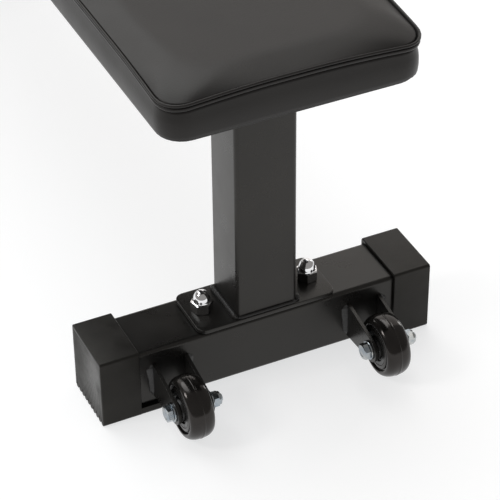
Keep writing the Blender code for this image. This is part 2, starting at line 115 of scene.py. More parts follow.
def vary(tree, texture, socket, low_value, high_value):
    """Drives a shader socket between two values by a texture."""
    remap = tree.nodes.new("ShaderNodeMapRange")
    for name, value in (("From Min", DRIFT_START), ("From Max", DRIFT_STOP), ("To Min", low_value),
                        ("To Max", high_value)):
        remap.inputs[name].default_value = value
    tree.links.new(value_of(texture), remap.inputs["Value"])
    tree.links.new(remap.outputs["Result"], socket)


def tint(tree, texture, socket, dark, light):
    """Drives a colour socket between two colours by a texture."""
    ramp = tree.nodes.new("ShaderNodeValToRGB")
    for stop, place, colour in zip(ramp.color_ramp.elements, (DRIFT_START, DRIFT_STOP), (dark, light)):
        stop.position = place
        stop.color = (*colour, 1.0)
    tree.links.new(value_of(texture), ramp.inputs["Fac"])
    tree.links.new(ramp.outputs["Color"], socket)


def bump(tree, shader, layers):
    """Stacks bump layers of (texture, strength, height in metres) on the shader's normal."""
    normal = None
    for texture, strength, height in layers:
        node = tree.nodes.new("ShaderNodeBump")
        node.inputs["Strength"].default_value = strength
        node.inputs["Distance"].default_value = height
        tree.links.new(value_of(texture), node.inputs["Height"])
        if normal:
            tree.links.new(normal, node.inputs["Normal"])
        normal = node.outputs["Normal"]
    tree.links.new(normal, shader.inputs["Normal"])


def skin(name, colour, roughness, metallic=0.0, tones=None, gloss=None, relief=(), **sockets):
    """A material whose colour drifts between two tones and its roughness between two values, with a relief.

    Each texture is given as noise_at takes it: (scale, detail, stretch, cells), or fewer.
    """
    material, tree, shader = principled(name, colour, roughness, metallic, **sockets)
    if tones:
        texture, dark, light = tones
        tint(tree, noise_at(tree, *texture), shader.inputs["Base Color"], dark, light)
    if gloss:
        texture, smoothest, roughest = gloss
        vary(tree, noise_at(tree, *texture), shader.inputs["Roughness"], smoothest, roughest)
    bump(tree, shader, [(noise_at(tree, *texture), strength, height) for texture, strength, height in relief])
    return material


LOOKS = {
    # Satin black powder coat: an even fine orange peel with a few duller patches.
    "frame_paint": skin("powder_coat", (0.010, 0.0095, 0.009), 0.30,
                        tones=((9.0, 4.0), (0.0075, 0.0072, 0.0070), (0.0125, 0.0118, 0.0110)),
                        gloss=((26.0, 5.0), 0.26, 0.33),
                        relief=[((1100.0, 2.0), 0.35, 0.00010), ((210.0, 2.0), 0.20, 0.00012)],
                        Specular_IOR_Level=0.40, Specular_Tint=(1.0, 0.965, 0.91, 1.0)),
    # The same coat over a weld, where it has flowed.
    "weld": skin("weld_paint", (0.011, 0.0105, 0.010), 0.36,
                 tones=((60.0,), (0.0075, 0.0072, 0.007), (0.015, 0.0142, 0.0135)),
                 gloss=((400.0,), 0.32, 0.46),
                 relief=[((700.0, 3.0), 0.5, 0.0003)]),
    # Moulded rubber: matte, with a fine stipple and a pale bloom in patches.
    "cap_rubber": skin("cap_rubber", (0.012, 0.0114, 0.0104), 0.38,
                       tones=((14.0, 6.0), (0.0085, 0.0081, 0.0075), (0.0155, 0.0148, 0.0134)),
                       gloss=((45.0, 5.0), 0.32, 0.46),
                       relief=[((1500.0, 2.0), 0.45, 0.00015), ((90.0, 4.0), 0.15, 0.0004)],
                       Specular_IOR_Level=0.22, Specular_Tint=(1.0, 0.95, 0.88, 1.0)),
    # Black upholstery vinyl with a fine pebbled grain.
    "pad_vinyl": skin("pad_vinyl", (0.012, 0.0113, 0.0112), 0.38,
                      tones=((7.0, 4.0), (0.0105, 0.0099, 0.0100), (0.0140, 0.0131, 0.0128)),
                      gloss=((18.0, 5.0), 0.37, 0.43),
                      relief=[((620.0, 0.0, None, "SMOOTH_F1"), 0.30, 0.00022),
                              ((1600.0, 2.0), 0.25, 0.00010), ((22.0, 3.0), 0.07, 0.0006)],
                      Specular_IOR_Level=0.285, Specular_Tint=(1.0, 0.965, 0.92, 1.0)),
    "chrome": skin("chrome_plate", (0.80, 0.80, 0.81), 0.06, 1.0,
                   gloss=((120.0, 4.0), 0.04, 0.12),
                   relief=[((300.0, 2.0), 0.08, 0.00012)]),
    # Bright zinc with faint blue and straw patches and a slightly rough skin.
    "zinc": skin("zinc_plate", (0.40, 0.43, 0.46), 0.20, 1.0,
                 tones=((90.0, 4.0), (0.30, 0.35, 0.40), (0.50, 0.51, 0.50)),
                 gloss=((260.0, 4.0), 0.14, 0.28),
                 relief=[((900.0, 3.0), 0.15, 0.00010)]),
    # Hard glossy polyurethane with slight flow marks.
    "tyre": skin("tyre_black", (0.005, 0.0045, 0.0042), 0.15,
                 tones=((40.0, 5.0), (0.004, 0.0038, 0.0036), (0.010, 0.0092, 0.0085)),
                 gloss=((55.0, 5.0), 0.12, 0.21),
                 relief=[((130.0, 3.0), 0.10, 0.0003)],
                 Specular_IOR_Level=0.42, Specular_Tint=(1.0, 0.92, 0.88, 1.0)),
    "wheel_core": skin("core_nylon", (0.010, 0.0098, 0.0095), 0.30,
                       tones=((50.0,), (0.007, 0.0068, 0.0066), (0.015, 0.0146, 0.014)),
                       gloss=((150.0, 4.0), 0.22, 0.38),
                       relief=[((800.0,), 0.25, 0.00012)]),
    "grip_rubber": skin("grip_rubber", (0.020, 0.020, 0.020), 0.78,
                        tones=((80.0,), (0.015, 0.015, 0.015), (0.030, 0.029, 0.028)),
                        gloss=((120.0,), 0.68, 0.86),
                        relief=[((1300.0, 2.0), 0.5, 0.0002)]),
    # Black non-woven cloth: pressed fibres in a dotted bond pattern.
    "dust_cloth": skin("dust_cloth", (0.016, 0.016, 0.017), 0.93,
                       tones=((500.0, 4.0, (1.0, 0.3, 1.0)), (0.011, 0.011, 0.012), (0.028, 0.028, 0.029)),
                       relief=[((450.0, 0.0, None, "F1"), 0.6, 0.0003),
                               ((900.0, 3.0, (1.0, 0.2, 1.0)), 0.5, 0.0002)]),
    "plywood": skin("plywood", (0.50, 0.36, 0.22), 0.75,
                    tones=((60.0, 5.0, (1.0, 0.08, 6.0)), (0.40, 0.27, 0.15), (0.58, 0.43, 0.28)),
                    relief=[((300.0, 4.0, (1.0, 0.05, 1.0)), 0.3, 0.0003)]),
}


# ---------------------------------------------------------------- mesh helpers
def circle(radius, steps):
    return [(radius * math.cos(2 * math.pi * i / steps), radius * math.sin(2 * math.pi * i / steps))
            for i in range(steps)]


def rounded_rectangle(width, depth, corner, steps=10):
    """The outline of a rectangle with rounded corners, counter-clockwise."""
    outline = []
    for quarter, (sx, sy) in enumerate(((1, 1), (-1, 1), (-1, -1), (1, -1))):
        centre_x = sx * (width / 2 - corner)
        centre_y = sy * (depth / 2 - corner)
        for i in range(steps + 1):
            angle = math.pi / 2 * (quarter + i / steps)
            outline.append((centre_x + corner * math.cos(angle), centre_y + corner * math.sin(angle)))
    return outline


def quarter(steps, first=0):
    """The cosine and sine of even steps from 0 to 90 degrees."""
    angles = [math.pi / 2 * i / steps for i in range(first, steps + 1)]
    return [(math.cos(angle), math.sin(angle)) for angle in angles]


def ring(outline, height):
    return [Vector((x, y, height)) for x, y in outline]


def skinned(rings, closed=False):
    """A mesh with quads between each ring and the next, and the rings' vertices. A closed stack joins up."""
    mesh = bmesh.new()
    loops = [[mesh.verts.new(point) for point in points] for points in rings]
    count = len(loops[0])
    for near, far in zip(loops, loops[1:] + (loops[:1] if closed else [])):
        for i in range(count):
            j = (i + 1) % count
            mesh.faces.new((near[i], near[j], far[j], far[i]))
    return mesh, loops


def loft(rings, closed=False):
    """A solid skin over a stack of rings. A closed stack joins its last ring to its first."""
    mesh, loops = skinned(rings, closed)
    if not closed:
        mesh.faces.new(reversed(loops[0]))
        mesh.faces.new(loops[-1])
    bmesh.ops.recalc_face_normals(mesh, faces=mesh.faces)
    return mesh


def turned(profile, steps=64, closed=False):
    """A solid of revolution about Z, from points of (radius, height)."""
    return loft([ring(circle(radius, steps), height) for radius, height in profile], closed)


def rectangle_at(width, depth, corner):
    """The outline_at(inset) of a rectangle with rounded corners."""
    return lambda inset: rounded_rectangle(width - 2 * inset, depth - 2 * inset, corner - inset)


def slab(outline_at, bottom, top, edge, steps=3, under=None):
    """A plate with rounded edges: edge on top, under below. outline_at(inset) gives its outline."""
    under = under or edge
    arc = quarter(steps)
    rings = [ring(outline_at(under * (1 - sine)), bottom + under * (1 - cosine)) for cosine, sine in arc]
    rings += [ring(outline_at(edge * (1 - cosine)), top - edge * (1 - sine)) for cosine, sine in arc]
    return loft(rings)


def square_tube(width, depth, low_end, high_end):
    """A square tube along Z whose cut ends have a small break on their outer edge."""
    outer_at = rectangle_at(width, depth, TUBE_CORNER)
    inner = rounded_rectangle(width - 2 * WALL, depth - 2 * WALL, TUBE_CORNER - WALL)
    rings = [ring(outer_at(CUT_EDGE), low_end), ring(outer_at(0.0), low_end + CUT_EDGE),
             ring(outer_at(0.0), high_end - CUT_EDGE), ring(outer_at(CUT_EDGE), high_end),
             ring(inner, high_end), ring(inner, low_end)]
    return loft(rings, closed=True)


def mesh_data(name, mesh):
    data = bpy.data.meshes.new(name)
    mesh.to_mesh(data)
    mesh.free()
    return data


def add_object(name, data):
    made = bpy.data.objects.new(name, data)
    bpy.context.scene.collection.objects.link(made)
    return made


def piece(name, mesh, look, body=BENCH, place=None, stands_for=(), smooth=32):
    """A finished mesh in the row frame that rides on a body. Edges over smooth degrees stay sharp."""
    if place is not None:
        bmesh.ops.transform(mesh, matrix=place, verts=mesh.verts)
    data = mesh_data(name, mesh)
    made = add_object(name, data)
    data.materials.append(LOOKS[look])
    data.shade_smooth()
    if smooth:
        data.set_sharp_from_angle(angle=math.radians(smooth))
    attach(made, body)
    if stands_for:
        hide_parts(*stands_for)
    return made


def moved(x, y, z):
    return Matrix.Translation((x, y, z))


def along_x(place, degrees=0.0):
    """Turns local +Z to +X at a place, after a turn about Z."""
    return (Matrix.Translation(place) @ Matrix.Rotation(math.pi / 2, 4, "Y")
            @ Matrix.Rotation(math.radians(degrees), 4, "Z"))


def even_points(points, closed, steps=0, gap=0.0):
    """Points at an even spacing along a line, by a number of steps or by about a gap."""
    points = points + [points[0]] if closed else points
    lengths = [0.0]
    for a, b in zip(points, points[1:]):
        lengths.append(lengths[-1] + (b - a).length)
    steps = steps or max(4, round(lengths[-1] / gap))
    spaced, k = [], 0
    for i in range(steps if closed else steps + 1):
        target = lengths[-1] * i / steps
        while k < len(lengths) - 2 and lengths[k + 1] < target:
            k += 1
        share = (target - lengths[k]) / max(lengths[k + 1] - lengths[k], 1e-9)
        spaced.append(points[k].lerp(points[k + 1], share))
    return spaced


BEAD_STEP = 0.7 * MM
BEAD_SIDES = 12


def bead(name, path, radius, closed=False, pitch=3.2 * MM, seed=1.0):
    """A weld bead along a path: a round fillet with the ripples that a weld leaves, one to each pitch."""
    spaced = even_points(path, closed, gap=BEAD_STEP)
    count = len(spaced)
    rings, travelled = [], 0.0
    for i, point in enumerate(spaced):
        before = spaced[i - 1] if closed or i else point
        after = spaced[(i + 1) % count] if closed or i < count - 1 else point
        tangent = (after - before).normalized()
        side = tangent.cross(Vector((0.31, 0.17, 0.94))).normalized()     # any direction that no path follows
        over = tangent.cross(side).normalized()
        wobble = noise.noise(Vector((seed, travelled * 90.0, 0.0)))
        ripple = 0.5 + 0.5 * math.cos(2 * math.pi * travelled / pitch + 1.5 * wobble)
        size = radius * (0.95 + 0.06 * ripple + 0.07 * wobble)
        if not closed:
            nearest_end = min(i, count - 1 - i) / (count - 1)
            size *= min(1.0, 0.35 + nearest_end * 9.0)
        rings.append([point + size * (side * x + over * y) for x, y in circle(1.0, BEAD_SIDES)])
        travelled += BEAD_STEP
    piece(name, loft(rings, closed), "weld", smooth=60)


# ---------------------------------------------------------------- steel frame
def add_foot_tube(node):
    size = extent(node)
    mesh = square_tube(size.z, size.y, -size.x / 2, size.x / 2)
    piece(node + "_steel", mesh, "frame_paint", place=along_x(middle(node)), stands_for=[node])


def add_post(node):
    """A post, set down into the weld round its foot, with its welds at the foot and at the pad plate."""
    size, centre = extent(node), middle(node)
    mesh = square_tube(size.x, size.y, -size.z / 2 - CUT_EDGE, size.z / 2)
    piece(node + "_steel", mesh, "frame_paint", place=moved(*centre), stands_for=[node])
    foot_z = centre.z - size.z / 2
    half_x, half_y = size.x / 2, size.y / 2
    for label, side in SIDES:
        path = [Vector((centre.x + side * (half_x + 1.0 * MM), centre.y + y, foot_z + 0.9 * MM))
                for y in (-half_y - 0.5 * MM, half_y + 0.5 * MM)]
        bead(f"{node}_{label}_weld", path, 4.2 * MM, pitch=4.0 * MM, seed=side + centre.y)
    for label, side in (("near", -1), ("far", 1)):
        path = [Vector((centre.x + x, centre.y + side * (half_y + 0.1 * MM), foot_z))
                for x in (-half_x, half_x)]
        bead(f"{node}_{label}_weld", path, 2.5 * MM, seed=side * 3 + centre.y)
    outline = rounded_rectangle(size.x + 1.2 * MM, size.y + 1.2 * MM, TUBE_CORNER + 0.6 * MM, 6)
    path = [Vector((centre.x + x, centre.y + y, centre.z + size.z / 2)) for x, y in outline]
    bead(node + "_top_weld", path, 2.2 * MM, closed=True, seed=centre.y + 5.0)


def add_base_plate(node):
    """The plate under a post, lifted a little off the tube and a little deeper, so that its edge shows."""
    size, centre = extent(node), middle(node)
    low_corner, high_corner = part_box(node)
    overhang, lift, corner = 0.8 * MM, 1.1 * MM, 10.0 * MM
    outline_at = rectangle_at(size.x, size.y + 2 * overhang, corner)
    mesh = slab(outline_at, low_corner.z + lift, high_corner.z, 0.8 * MM, under=0.9 * MM)
    piece(node + "_steel", mesh, "frame_paint", place=moved(centre.x, centre.y, 0), stands_for=[node])


def add_rail():
    size, centre = extent("top_rail"), middle("top_rail")
    mesh = square_tube(size.x, size.z, -size.y / 2, size.y / 2)
    place = moved(*centre) @ Matrix.Rotation(math.pi / 2, 4, "X")
    piece("top_rail_steel", mesh, "frame_paint", place=place, stands_for=["top_rail"])
    for end, side in zip(ENDS, (-1, 1)):
        y = centre.y + side * (size.y / 2)
        outline = rounded_rectangle(size.x + 1.0 * MM, size.z + 1.0 * MM, TUBE_CORNER, 6)
        path = [Vector((centre.x + x, y, centre.z + z)) for x, z in outline]
        bead(end + "_rail_weld", path, 2.3 * MM, closed=True, seed=y)


def add_pad_plate(node):
    size, centre = extent(node), middle(node)
    mesh = slab(rectangle_at(size.x, size.y, 8.0 * MM), -size.z / 2, size.z / 2, 0.6 * MM)
    piece(node + "_steel", mesh, "frame_paint", place=moved(*centre), stands_for=[node])


def clean_copy(node):
    """A node's own mesh with its doubled points joined."""
    copy = bmesh.new()
    copy.from_mesh(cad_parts[node].data)
    bmesh.ops.remove_doubles(copy, verts=copy.verts, dist=1e-6)
    return copy


def add_ear(node, wheel_x):
    """A gusset that carries one end of an axle, with its weld to the foot tube."""
    low_corner, high_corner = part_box(node)
    source = clean_copy(node)
    bmesh.ops.dissolve_limit(source, angle_limit=math.radians(1), verts=source.verts, edges=source.edges)
    made = piece(node + "_steel", source, "frame_paint", stands_for=[node])
    soft = made.modifiers.new("soft_edges", "BEVEL")
    soft.width, soft.segments, soft.limit_method = 0.5 * MM, 2, "ANGLE"
    soft.angle_limit = math.radians(40)
    back = high_corner.y + GAP
    side = -1 if middle(node).x < wheel_x else 1
    outer_x = low_corner.x if side < 0 else high_corner.x
    top_z, foot_z = high_corner.z - 1.0 * MM, low_corner.z + 1.0 * MM
    rings, steps = [], 44               # the weld: a fillet that widens upwards and tapers off at its ends
    for i in range(steps + 1):
        share = i / steps
        z = foot_z + (top_z - foot_z) * share
        wobble = noise.noise(Vector((outer_x * 40.0, z * 160.0, 3.0)))
        ripple = 0.10 * MM * math.cos(2 * math.pi * z / (3.4 * MM) + wobble)
        taper = min(1.0, 0.25 + 6.0 * share, 0.25 + 6.0 * (1 - share))
        wide = (3.6 + 3.2 * share + 0.7 * wobble) * MM * taper + ripple
        deep = (3.0 + 0.5 * wobble) * MM * taper + ripple
        ring_points = [(-1.0 * MM, 1.0 * MM), (wide, 0.8 * MM), (wide, 0.0), (wide * 0.80, -deep * 0.30),
                       (wide * 0.52, -deep * 0.58), (wide * 0.26, -deep * 0.82), (0.0, -deep),
                       (-1.0 * MM, -deep)]
        rings.append([Vector((outer_x + side * x, back + y, z)) for x, y in ring_points])
    piece(node + "_weld", loft(rings), "weld", smooth=50)


def add_handle():
    """The bent bar in the CAD's shape, smoothed, with a weld along both sides of each leg's end."""
    node = "lift_handle"
    made = piece(node + "_bar", clean_copy(node), "frame_paint", stands_for=[node], smooth=50)
    smooth = made.modifiers.new("round", "SUBSURF")
    smooth.levels = smooth.render_levels = 1
    low_corner, high_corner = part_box(node)
    radius = 10.0 * MM
    for label, side in SIDES:
        leg_x = side * (high_corner.x - radius)
        for name, edge in (("inner", -1), ("outer", 1)):
            path = [Vector((leg_x + edge * side * 5.5 * MM, low_corner.y + y, high_corner.z - 0.5 * MM))
                    for y in (2.0 * MM, 34.0 * MM)]
            bead(f"handle_{label}_{name}_weld", path, 2.4 * MM, seed=leg_x + edge)


# ---------------------------------------------------------------- rubber
CAP_RIBS = 10
RIB_DEPTH = 2.4 * MM
# A rib across its pitch, as (share of the pitch, height over the floor).
RIB = ((0.10, RIB_DEPTH), (0.20, 0.25 * MM), (0.26, 0.0), (0.52, 0.0), (0.58, 0.25 * MM), (0.68, RIB_DEPTH))


def cap_outline(inset, half, top):
    """A cap's end outline: round top corners and a ribbed sole, drawn in by an inset."""
    corner = 3.0 * MM
    outline = []
    for side in (1, -1):
        for i in range(7):
            angle = math.pi / 12 * i + (0 if side == 1 else math.pi / 2)
            outline.append((side * (half - corner) + (corner - inset) * math.cos(angle),
                            top - corner + (corner - inset) * math.sin(angle)))
    pitch = 2 * half / CAP_RIBS
    sole = [(-half + (i + share) * pitch, rise + inset) for i in range(CAP_RIBS) for share, rise in RIB]
    sole[0] = (-half + inset, RIB_DEPTH + inset)
    return outline + sole + [(half - inset, RIB_DEPTH + inset)]


def add_cap(node, side):
    """A rubber box cap, crisp at its edges, and the tongue of its sole, which reaches under the tube."""
    low_corner, high_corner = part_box(node)
    centre = middle(node)
    half = (high_corner.y - low_corner.y) / 2
    outer, tip = (high_corner.x, low_corner.x) if side > 0 else (low_corner.x, high_corner.x)
    mouth = outer - side * CAP_LENGTH
    tube_low, tube_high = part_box(node.split("_")[0] + "_foot_tube")
    tube_z, pocket_half = (tube_low.z + tube_high.z) / 2, (tube_high.z - tube_low.z) / 2 + GAP
    edge, rim, end_wall = 1.3 * MM, 0.8 * MM, 5.0 * MM

    def cross(x, inset, deck=high_corner.z):
        """The outline at x, cut off level at the deck."""
        return [Vector((x, centre.y + y, min(z, deck))) for y, z in cap_outline(inset, half, high_corner.z)]

    def pocket(x):
        """The outline drawn in to the square hole that takes the tube."""
        points = []
        for y, z in cap_outline(rim, half, high_corner.z):
            up = z - tube_z
            reach = pocket_half / max(abs(y), abs(up))
            points.append(Vector((x, centre.y + y * reach, tube_z + up * reach)))
        return points

    rings = [cross(outer - side * 0.5 * MM, 5.0 * MM), cross(outer, 3.4 * MM)]     # a shallow dish in its end
    rings += [cross(outer - side * edge * (1 - cosine), edge * (1 - sine)) for cosine, sine in quarter(4)]
    rings += [cross(mouth + side * rim, 0.0), cross(mouth, rim), pocket(mouth), pocket(outer - side * end_wall)]
    piece(node + "_rubber", loft(rings), "cap_rubber", stands_for=[node], smooth=28)
    deck = tube_low.z - GAP
    rings = [cross(mouth + side * 1.0 * MM, 0.3 * MM, deck - 0.3 * MM),
             cross(tip + side * 1.6 * MM, 0.3 * MM, deck - 0.3 * MM), cross(tip, 1.6 * MM, deck - 1.6 * MM)]
    piece(node + "_tongue", loft(rings), "cap_rubber", stands_for=[node], smooth=28)


def add_grip():
    size, centre = extent("handle_grip"), middle("handle_grip")
    outer, inner, half = size.z / 2, 10.3 * MM, size.x / 2
    end = [(inner, half), (outer - 1.6 * MM, half), (outer - 0.4 * MM, half - 0.6 * MM),
           (outer, half - 1.8 * MM)]
    profile = [(radius, -x) for radius, x in end] + [(outer, -half + 5.0 * MM)]
    ridges, plain, groove = 12, 6.0 * MM, 1.0 * MM
    pitch = (2 * half - 2 * plain) / ridges
    for i in range(ridges):
        start = -half + plain + pitch * i
        profile += [(outer - groove, start), (outer - groove, start + pitch * 0.22),
                    (outer, start + pitch * 0.36), (outer, start + pitch * 0.86)]
    profile += reversed(end)
    piece("handle_grip_rubber", turned(profile, 48, closed=True), "grip_rubber", place=along_x(centre),
          stands_for=["handle_grip"], smooth=40)


# ---------------------------------------------------------------- fasteners
ROUND = 48                          # points round a fastener
NUT_TURNS = {"front_left_acorn_nut": 12, "front_right_acorn_nut": 38, "rear_left_acorn_nut": 5,
             "rear_right_acorn_nut": 50}


def disc(radius, height):
    return ring(circle(radius, ROUND), height)


def hex_ring(flats, base, slope=0.0):
    """A hexagon whose height falls off towards its corners, as the chamfer on a nut leaves it."""
    points = []
    for i in range(ROUND):
        angle = 2 * math.pi * i / ROUND
        from_flat = (angle + math.pi / 6) % (math.pi / 3) - math.pi / 6
        radius = flats / 2 / math.cos(from_flat)
        points.append(Vector((radius * math.cos(angle), radius * math.sin(angle),
                              base - slope * (radius - flats / 2 * 0.965))))
    return points


def thread(radius, start, stop, pitch):
    """Ring-shaped threads from start up to stop, as points of (radius, height)."""
    count = max(1, round((stop - start) / pitch))
    step, root = (stop - start) / count, radius * 0.89
    return [(wide, start + step * (i + share)) for i in range(count)
            for wide, share in ((radius, 0.10), (radius, 0.25), (root, 0.60), (root, 0.75))]


def add_acorn_nut(node):
    """A domed nut: chamfered hexagon, a slight step and a dome."""
    low_corner, high_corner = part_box(node)
    height, flats = high_corner.z - low_corner.z, min(extent(node).x, extent(node).y)
    hex_top, dome_r = 12.2 * MM, 9.3 * MM
    dome_foot = hex_top + 0.7 * MM
    rings = [disc(flats / 2 * 0.93, 0.0), hex_ring(flats, 0.3 * MM, -0.45), hex_ring(flats, hex_top, 0.55),
             disc(flats / 2 * 0.95, hex_top + 0.05 * MM), disc(dome_r + 0.15 * MM, hex_top + 0.25 * MM),
             disc(dome_r, dome_foot)]
    rings += [disc(dome_r * cosine ** 0.92, dome_foot + (height - dome_foot) * sine)
              for cosine, sine in quarter(14, 1)[:-1]]
    rings.append(disc(0.25 * MM, height))
    centre = middle(node)
    turn = Matrix.Rotation(math.radians(NUT_TURNS[node]), 4, "Z")
    piece(node + "_chrome", loft(rings), "chrome", place=moved(centre.x, centre.y, low_corner.z - GAP) @ turn,
          stands_for=[node], smooth=26)


def add_base_bolt(node):
    """A round-headed bolt up through the foot tube, threaded at its top."""
    low_corner, high_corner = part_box(node)
    centre = middle(node)
    head_r, shank_r, threaded = (high_corner.x - low_corner.x) / 2, 7.0 * MM, 12.0 * MM
    seat = low_corner.z + 5.6 * MM
    profile = [(max(head_r * sine, 0.3 * MM), seat - 0.6 * MM - 5.0 * MM * cosine)
               for cosine, sine in quarter(8)]
    profile += [(head_r, seat), (shank_r, seat), (shank_r, high_corner.z - threaded)]
    profile += thread(shank_r, high_corner.z - threaded, high_corner.z - 1.0 * MM, 1.75 * MM)
    profile.append((shank_r * 0.8, high_corner.z))
    piece(node + "_zinc", turned(profile, ROUND), "zinc", place=moved(centre.x, centre.y, 0),
          stands_for=[node])


def washer_mesh(outer, inner, thick):
    edge = 0.35 * MM
    profile = [(inner, 0.0), (outer - edge, 0.0), (outer - 0.1 * edge, 0.3 * edge), (outer, edge)]
    profile += [(radius, thick - height) for radius, height in reversed(profile)]
    return turned(profile, 64, closed=True)


def hex_head_mesh(shank_r, flats, head, length, threaded):
    """A hex bolt: chamfered head with a slight washer face under it, plain shank, thread and a point."""
    rings = [disc(flats * 0.30, -head + 0.25 * MM), disc(flats * 0.33, -head), disc(flats * 0.465, -head),
             hex_ring(flats, -head + 0.15 * MM, -0.55), hex_ring(flats, -0.35 * MM),
             disc(flats * 0.475, -0.30 * MM), disc(flats * 0.470, 0.0), disc(shank_r, 0.0)]
    turns = thread(shank_r, length - threaded, length - 1.2 * MM, 1.5 * MM)
    rings += [disc(radius, z) for radius, z in turns]
    return loft(rings + [disc(shank_r * 0.86, length - 0.6 * MM), disc(shank_r * 0.72, length)])


def lock_nut_mesh(bore_r, flats, height):
    """A lock nut: chamfered hexagon and the round collar that holds its insert."""
    hex_top, collar_r, corner = height * 0.68, flats * 0.445, 1.2 * MM
    rings = [disc(bore_r, 0.0), disc(flats * 0.465, 0.0), hex_ring(flats, 0.2 * MM, -0.5),
             hex_ring(flats, hex_top, 0.5), disc(flats * 0.455, hex_top + 0.05 * MM),
             disc(collar_r, hex_top + 0.5 * MM)]
    rings += [disc(collar_r - corner * (1 - cosine), height - corner * (1 - sine))
              for cosine, sine in quarter(4)]
    return loft(rings + [disc(bore_r + 0.7 * MM, height), disc(bore_r, height - 0.8 * MM)], closed=True)


def add_pad_fixings(end, side):
    """The screw and washer that hold a pad plate to the pad."""
    washer, bolt = f"{end}_{side}_pad_washer", f"{end}_{side}_pad_bolt"
    centre = middle(washer)
    mesh = washer_mesh(extent(washer).x / 2, 4.3 * MM, extent(washer).z)
    piece(washer + "_zinc", mesh, "zinc", place=moved(centre.x, centre.y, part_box(washer)[0].z),
          stands_for=[washer])
    bolt_low, bolt_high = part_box(bolt)
    head, flats = 5.3 * MM, min(extent(bolt).x, extent(bolt).y)
    mesh = hex_head_mesh(4.0 * MM, flats, head, bolt_high.z - bolt_low.z - head, 12.0 * MM)
    turn = Matrix.Rotation(0.4 if side == "left" else 0.9, 4, "Z")
    piece(bolt + "_zinc", mesh, "zinc", place=moved(centre.x, centre.y, bolt_low.z + head) @ turn,
          stands_for=[bolt])


# ---------------------------------------------------------------- wheels
def both_faces(side):
    """A wheel's closed profile, from the points of its right face, from the bore outwards."""
    return side + [(radius, -x) for radius, x in reversed(side)]


def add_wheel(wheel, turns):
    """The tyre and core, which turn, and the axle's bolt, washers and nut, which don't."""
    tyre, core = wheel + "_tyre", wheel + "_core"
    centre = middle(tyre)
    place = along_x(centre)
    radius, half = extent(tyre).z / 2, extent(tyre).x / 2
    # From the seat on the core: a groove, the side wall, the shoulder and the fine seam round the middle.
    side = [(20.0, 12.9), (22.9, 12.9), (23.5, 12.6), (23.9, 11.4), (24.3, 10.9), (25.3, 10.9), (25.7, 11.4),
            (26.1, 12.9), (26.6, 13.6), (27.2, 13.95), (28.0, 14.0), (29.4, 13.75), (30.6, 13.1),
            (31.7, 12.0), (32.7, 10.5), (33.5, 8.8), (34.1, 6.9), (34.45, 4.9), (34.62, 3.0), (34.66, 1.5),
            (34.72, 1.05), (35.0, 0.6)]
    scale = radius / side[-1][0]
    mesh = turned(both_faces([(r * scale, min(x * MM, half)) for r, x in side]), 120, closed=True)
    piece(tyre + "_tread", mesh, "tyre", wheel, place, stands_for=[tyre], smooth=28)

    # From the bore: the hub's boss, the dish and the raised rim inside the tyre.
    face = extent(core).x / 2 / MM
    side = [(7.3, face), (11.4, face), (12.0, face - 0.4), (12.3, face - 1.6), (12.7, 11.2), (13.1, 10.9),
            (14.2, 10.9), (14.6, 11.2), (15.0, 12.5), (15.4, 12.9), (19.2, 12.9), (19.5, 12.7), (19.7, 12.2)]
    mesh = turned(both_faces([(r * MM, x * MM) for r, x in side]), 96, closed=True)
    piece(core + "_nylon", mesh, "wheel_core", wheel, place, stands_for=[core], smooth=28)

    def on_axle(node, mesh, offset=0.0, turn=0.0, smooth=32):
        start = (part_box(node)[0].x + offset, centre.y, centre.z)
        piece(node + "_zinc", mesh, "zinc", place=along_x(start, turn), stands_for=[node], smooth=smooth)

    for node in (wheel + "_bolt_washer", wheel + "_nut_washer"):
        on_axle(node, washer_mesh(extent(node).z / 2, 5.3 * MM, extent(node).x))
    bolt, nut = wheel + "_axle_bolt", wheel + "_lock_nut"
    head, flats = 6.4 * MM, min(extent(bolt).y, extent(bolt).z)
    on_axle(bolt, hex_head_mesh(5.0 * MM, flats, head, extent(bolt).x - head, 24.0 * MM), head, turns[0], 26)
    on_axle(nut, lock_nut_mesh(5.1 * MM, flats, extent(nut).x), 0.0, turns[1], 26)
    for label, _ in SIDES:
        add_ear(f"{wheel}_{label}_ear", centre.x)


# ---------------------------------------------------------------- pad
PAD_LOW, PAD_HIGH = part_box("pad_cover")
PAD_CENTRE = (PAD_LOW + PAD_HIGH) / 2
PAD_HALF_X = (PAD_HIGH.x - PAD_LOW.x) / 2
PAD_HALF_Y = (PAD_HIGH.y - PAD_LOW.y) / 2
PAD_CORNER = 25.0 * MM
SEAM_Z = PAD_LOW.z + 42.5 * MM      # the crease at the corners
SEAM_BOW = 6.0 * MM                 # the seam stands this much higher between the corners
BOW_REACH = 125.0 * MM
CROWN_Z = PAD_HIGH.z + 0.6 * MM
ROLL = 38.0 * MM                    # width of the rolled edge of the top
AROUND = 440
PUFF = 1.2 * MM                     # the most that the inflated top moves
SEWN_RINGS = 3                      # the top's outer rings, which the seam holds still


def pad_loop(inset):
    """Even points round the pad, from the middle of its front edge. Deeper loops have rounder corners."""
    half_x, half_y = PAD_HALF_X - inset, PAD_HALF_Y - inset
    corner = PAD_CORNER - inset if inset < 0 else PAD_CORNER + 0.9 * inset
    corner = min(corner, half_x * 0.999)
    outline = [Vector((0.0, -half_y, 0.0))]
    for sx, sy, first in ((1, -1, -90), (1, 1, 0), (-1, 1, 90), (-1, -1, 180)):
        for i in range(13):
            angle = math.radians(first + 90 * i / 12)
            outline.append(Vector((sx * (half_x - corner) + corner * math.cos(angle),
                                   sy * (half_y - corner) + corner * math.sin(angle), 0.0)))
    return even_points(outline, True, AROUND)


